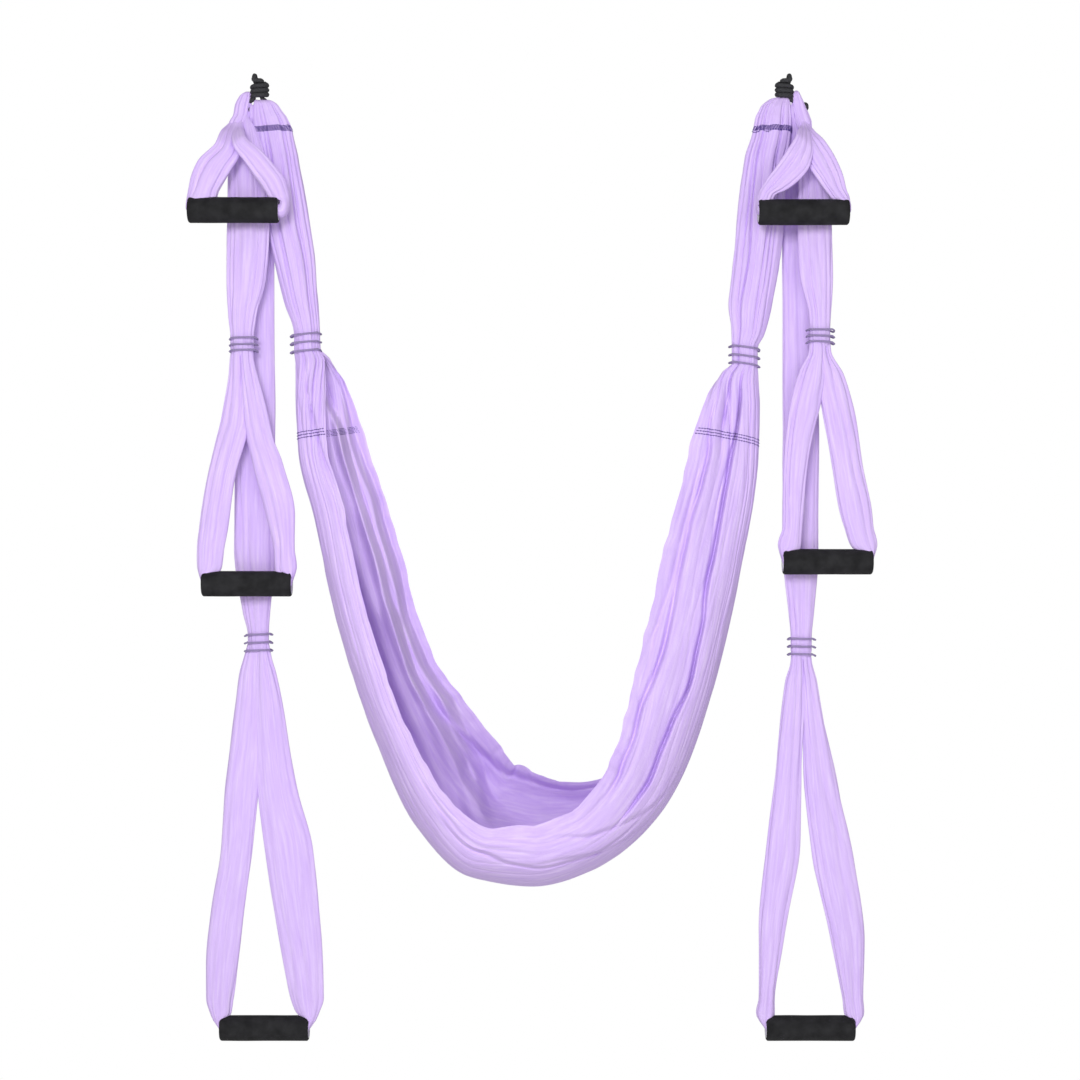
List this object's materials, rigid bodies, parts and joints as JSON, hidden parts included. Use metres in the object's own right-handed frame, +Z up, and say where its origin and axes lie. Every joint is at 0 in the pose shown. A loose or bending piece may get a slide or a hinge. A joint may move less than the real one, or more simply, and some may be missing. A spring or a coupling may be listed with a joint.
{
  "type": "yoga swing",
  "caption": "Aerial yoga swing: a gathered cloth hammock hung from two knotted ropes, with hand and foot loops that hold padded roll grips.",
  "frame": {"origin": "where a hook bears inside the left rope's eye", "axes": "+X from the left hanging point to the right one, +Y away from a person in front, +Z up"},
  "size_m": [1.0098, 0.3024, 1.4146],
  "materials": {
    "cloth": "satin",
    "gather_cord": "matte",
    "foam": "matte",
    "core": "satin",
    "rope": "matte"
  },
  "bodies": {
    "ropes": {"rope_left": "rope", "rope_right": "rope"},
    "hammock": {"hammock_channel_left": "cloth", "hammock_end_left": "cloth", "hammock_seat": "cloth", "hammock_end_right": "cloth", "hammock_channel_right": "cloth", "hammock_gather_left_ring_1": "gather_cord", "hammock_gather_left_ring_2": "gather_cord", "hammock_gather_left_ring_3": "gather_cord", "hammock_gather_right_ring_1": "gather_cord", "hammock_gather_right_ring_2": "gather_cord", "hammock_gather_right_ring_3": "gather_cord"},
    "middle_strap_left": {"middle_strap_upper_left": "cloth", "middle_gather_left_ring_1": "gather_cord", "middle_gather_left_ring_2": "gather_cord", "middle_gather_left_ring_3": "gather_cord"},
    "middle_loop_left": {"middle_strap_loop_left": "cloth"},
    "long_strap_left": {"long_strap_upper_left": "cloth", "long_gather_left_ring_1": "gather_cord", "long_gather_left_ring_2": "gather_cord", "long_gather_left_ring_3": "gather_cord"},
    "long_loop_left": {"long_strap_loop_left": "cloth"},
    "short_strap_left": {"short_strap_loop_left": "cloth"},
    "short_grip_left": {"short_foam_left": "foam", "short_core_left": "core"},
    "middle_grip_left": {"middle_foam_left": "foam", "middle_core_left": "core"},
    "long_grip_left": {"long_foam_left": "foam", "long_core_left": "core"},
    "middle_strap_right": {"middle_strap_upper_right": "cloth", "middle_gather_right_ring_1": "gather_cord", "middle_gather_right_ring_2": "gather_cord", "middle_gather_right_ring_3": "gather_cord"},
    "middle_loop_right": {"middle_strap_loop_right": "cloth"},
    "long_strap_right": {"long_strap_upper_right": "cloth", "long_gather_right_ring_1": "gather_cord", "long_gather_right_ring_2": "gather_cord", "long_gather_right_ring_3": "gather_cord"},
    "long_loop_right": {"long_strap_loop_right": "cloth"},
    "short_strap_right": {"short_strap_loop_right": "cloth"},
    "short_grip_right": {"short_foam_right": "foam", "short_core_right": "core"},
    "middle_grip_right": {"middle_foam_right": "foam", "middle_core_right": "core"},
    "long_grip_right": {"long_foam_right": "foam", "long_core_right": "core"}
  },
  "joints": [
    {"name": "hammock_swing", "type": "hinge", "parent": "ropes", "child": "hammock", "pos_m": [0, 0, -0.046], "axis": [1, 0, 0], "range_deg": [-45, 45]},
    {"name": "middle_strap_left_swing", "type": "hinge", "parent": "hammock", "child": "middle_strap_left", "pos_m": [0, 0, -0.046], "axis": [1, 0, 0], "range_deg": [-35, 0]},
    {"name": "short_handle_left_swing", "type": "hinge", "parent": "middle_strap_left", "child": "short_strap_left", "pos_m": [0, 0, -0.046], "axis": [1, 0, 0], "range_deg": [-40, 0]},
    {"name": "long_strap_left_swing", "type": "hinge", "parent": "hammock", "child": "long_strap_left", "pos_m": [0, 0, -0.046], "axis": [1, 0, 0], "range_deg": [0, 40]},
    {"name": "middle_loop_left_swing", "type": "hinge", "parent": "middle_strap_left", "child": "middle_loop_left", "pos_m": [-0.0136, -0.02, -0.4123], "axis": [1, 0, 0], "range_deg": [-75, 0]},
    {"name": "long_loop_left_swing", "type": "hinge", "parent": "long_strap_left", "child": "long_loop_left", "pos_m": [0.0038, 0.014, -0.8483], "axis": [1, 0, 0], "range_deg": [-75, 75]},
    {"name": "short_grip_left_roll", "type": "hinge", "parent": "short_strap_left", "child": "short_grip_left", "pos_m": [-0.0236, -0.056, -0.201], "axis": [1, 0, 0], "continuous": true},
    {"name": "middle_grip_left_roll", "type": "hinge", "parent": "middle_loop_left", "child": "middle_grip_left", "pos_m": [-0.0089, -0.02, -0.738], "axis": [1, 0, 0], "continuous": true},
    {"name": "long_grip_left_roll", "type": "hinge", "parent": "long_loop_left", "child": "long_grip_left", "pos_m": [0.0126, 0.014, -1.39], "axis": [1, 0, 0], "continuous": true},
    {"name": "middle_strap_right_swing", "type": "hinge", "parent": "hammock", "child": "middle_strap_right", "pos_m": [0.78, 0, -0.046], "axis": [1, 0, 0], "range_deg": [-35, 0]},
    {"name": "short_handle_right_swing", "type": "hinge", "parent": "middle_strap_right", "child": "short_strap_right", "pos_m": [0.78, 0, -0.046], "axis": [1, 0, 0], "range_deg": [-40, 0]},
    {"name": "long_strap_right_swing", "type": "hinge", "parent": "hammock", "child": "long_strap_right", "pos_m": [0.78, 0, -0.046], "axis": [1, 0, 0], "range_deg": [0, 40]},
    {"name": "middle_loop_right_swing", "type": "hinge", "parent": "middle_strap_right", "child": "middle_loop_right", "pos_m": [0.823, -0.02, -0.4003], "axis": [1, 0, 0], "range_deg": [-75, 0]},
    {"name": "long_loop_right_swing", "type": "hinge", "parent": "long_strap_right", "child": "long_loop_right", "pos_m": [0.7997, 0.014, -0.8543], "axis": [1, 0, 0], "range_deg": [-75, 75]},
    {"name": "short_grip_right_roll", "type": "hinge", "parent": "short_strap_right", "child": "short_grip_right", "pos_m": [0.7946, -0.056, -0.204], "axis": [1, 0, 0], "continuous": true},
    {"name": "middle_grip_right_roll", "type": "hinge", "parent": "middle_loop_right", "child": "middle_grip_right", "pos_m": [0.8335, -0.02, -0.706], "axis": [1, 0, 0], "continuous": true},
    {"name": "long_grip_right_roll", "type": "hinge", "parent": "long_loop_right", "child": "long_grip_right", "pos_m": [0.8122, 0.014, -1.39], "axis": [1, 0, 0], "continuous": true}
  ]
}
